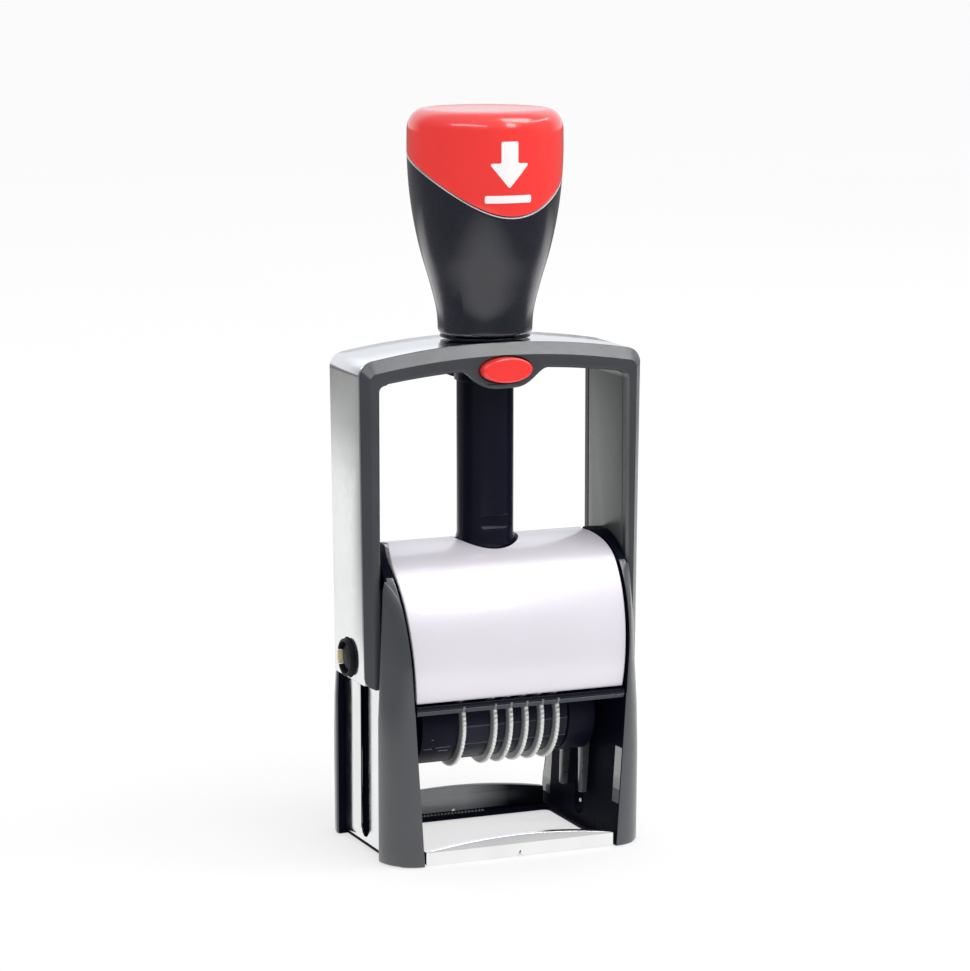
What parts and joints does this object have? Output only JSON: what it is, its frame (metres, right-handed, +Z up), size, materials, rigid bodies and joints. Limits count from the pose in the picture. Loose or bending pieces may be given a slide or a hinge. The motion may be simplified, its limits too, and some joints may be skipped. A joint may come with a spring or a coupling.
{
  "type": "self-inking numbering stamp",
  "caption": "Self-inking numbering stamp: steel stirrup with a waisted handle and red cap over a domed silver base, flip-over printing unit with knurled setting wheels.",
  "frame": {"origin": "on the table under the middle of the base", "axes": "+Z up along the handle, -Y towards the front with the lock button, +X to the right seen from the front"},
  "size_m": [0.0644, 0.04, 0.155],
  "materials": {
    "black_plastic": "glossy moulded black",
    "grey_plastic": "fine-textured dark grey moulding",
    "red_plastic": "glossy red",
    "bright_steel": "bright plated steel, softly brushed",
    "plain_steel": "turned steel",
    "silver_cover": "glossy silver-white",
    "wheel_plastic": "light grey with a knurled rim",
    "band_rubber": "black rubber",
    "brass": "plain brass",
    "inked_felt": "felt soaked with black ink"
  },
  "bodies": {
    "base": {"left_side_frame": "grey_plastic", "left_side_plate": "bright_steel", "left_front_cam_rib": "black_plastic", "left_rear_cam_rib": "black_plastic", "right_side_frame": "grey_plastic", "right_side_plate": "bright_steel", "right_front_cam_rib": "black_plastic", "right_rear_cam_rib": "black_plastic", "front_guide_bar": "bright_steel", "rear_guide_bar": "black_plastic", "window_frame": "black_plastic", "cover": "silver_cover", "index_bar": "black_plastic", "guide_post": "black_plastic", "return_spring": "plain_steel", "pad_shelf": "black_plastic"},
    "pad_tray": {"pad_tray": "black_plastic", "ink_pad": "inked_felt", "pad_grip": "black_plastic"},
    "stirrup": {"stirrup": "bright_steel", "stirrup_liner": "grey_plastic", "front_trim": "grey_plastic", "rear_trim": "grey_plastic", "post_bushing": "black_plastic", "handle": "black_plastic", "handle_cap": "red_plastic", "cross_axle": "plain_steel", "left_pivot_bush": "black_plastic", "left_axle_cap": "black_plastic", "left_retaining_clip": "brass", "right_pivot_bush": "black_plastic", "right_axle_cap": "black_plastic", "right_retaining_clip": "brass"},
    "lock_button": {"lock_button": "red_plastic"},
    "print_unit": {"left_end_block": "black_plastic", "right_end_block": "black_plastic", "anvil": "plain_steel", "wheel_pin": "plain_steel", "left_cam_pin": "plain_steel", "right_cam_pin": "plain_steel", "number_band_1": "band_rubber", "number_band_2": "band_rubber", "number_band_3": "band_rubber", "number_band_4": "band_rubber", "number_band_5": "band_rubber", "number_band_6": "band_rubber"},
    "wheel_1": {"number_wheel_1": "wheel_plastic"},
    "wheel_2": {"number_wheel_2": "wheel_plastic"},
    "wheel_3": {"number_wheel_3": "wheel_plastic"},
    "wheel_4": {"number_wheel_4": "wheel_plastic"},
    "wheel_5": {"number_wheel_5": "wheel_plastic"},
    "wheel_6": {"number_wheel_6": "wheel_plastic"}
  },
  "joints": [
    {"name": "press_slide", "type": "slide", "parent": "base", "child": "stirrup", "axis": [0, 0, -1], "range_m": [0, 0.0323], "stiffness_N_per_m": 400, "springref_m": -0.025, "deforming": ["return_spring"]},
    {"name": "unit_flip", "type": "hinge", "parent": "stirrup", "child": "print_unit", "pos_m": [0, 0, 0.0413], "axis": [1, 0, 0], "range_deg": [0, 180]},
    {"name": "button_press", "type": "slide", "parent": "stirrup", "child": "lock_button", "axis": [0, 1, 0], "range_m": [0, 0.0012], "stiffness_N_per_m": 300, "springref_m": -0.0015},
    {"name": "pad_tray_slide", "type": "slide", "parent": "base", "child": "pad_tray", "axis": [0, 1, 0], "range_m": [0, 0.02]},
    {"name": "wheel_1_turn", "type": "hinge", "parent": "print_unit", "child": "wheel_1", "pos_m": [0, -0.0041, 0.0276], "axis": [1, 0, 0], "continuous": true},
    {"name": "wheel_2_turn", "type": "hinge", "parent": "print_unit", "child": "wheel_2", "pos_m": [0, -0.0041, 0.0276], "axis": [1, 0, 0], "continuous": true},
    {"name": "wheel_3_turn", "type": "hinge", "parent": "print_unit", "child": "wheel_3", "pos_m": [0, -0.0041, 0.0276], "axis": [1, 0, 0], "continuous": true},
    {"name": "wheel_4_turn", "type": "hinge", "parent": "print_unit", "child": "wheel_4", "pos_m": [0, -0.0041, 0.0276], "axis": [1, 0, 0], "continuous": true},
    {"name": "wheel_5_turn", "type": "hinge", "parent": "print_unit", "child": "wheel_5", "pos_m": [0, -0.0041, 0.0276], "axis": [1, 0, 0], "continuous": true},
    {"name": "wheel_6_turn", "type": "hinge", "parent": "print_unit", "child": "wheel_6", "pos_m": [0, -0.0041, 0.0276], "axis": [1, 0, 0], "continuous": true}
  ],
  "couplings": [
    {"joint": "unit_flip", "follows": "press_slide", "rad_per_m": 97.26}
  ]
}
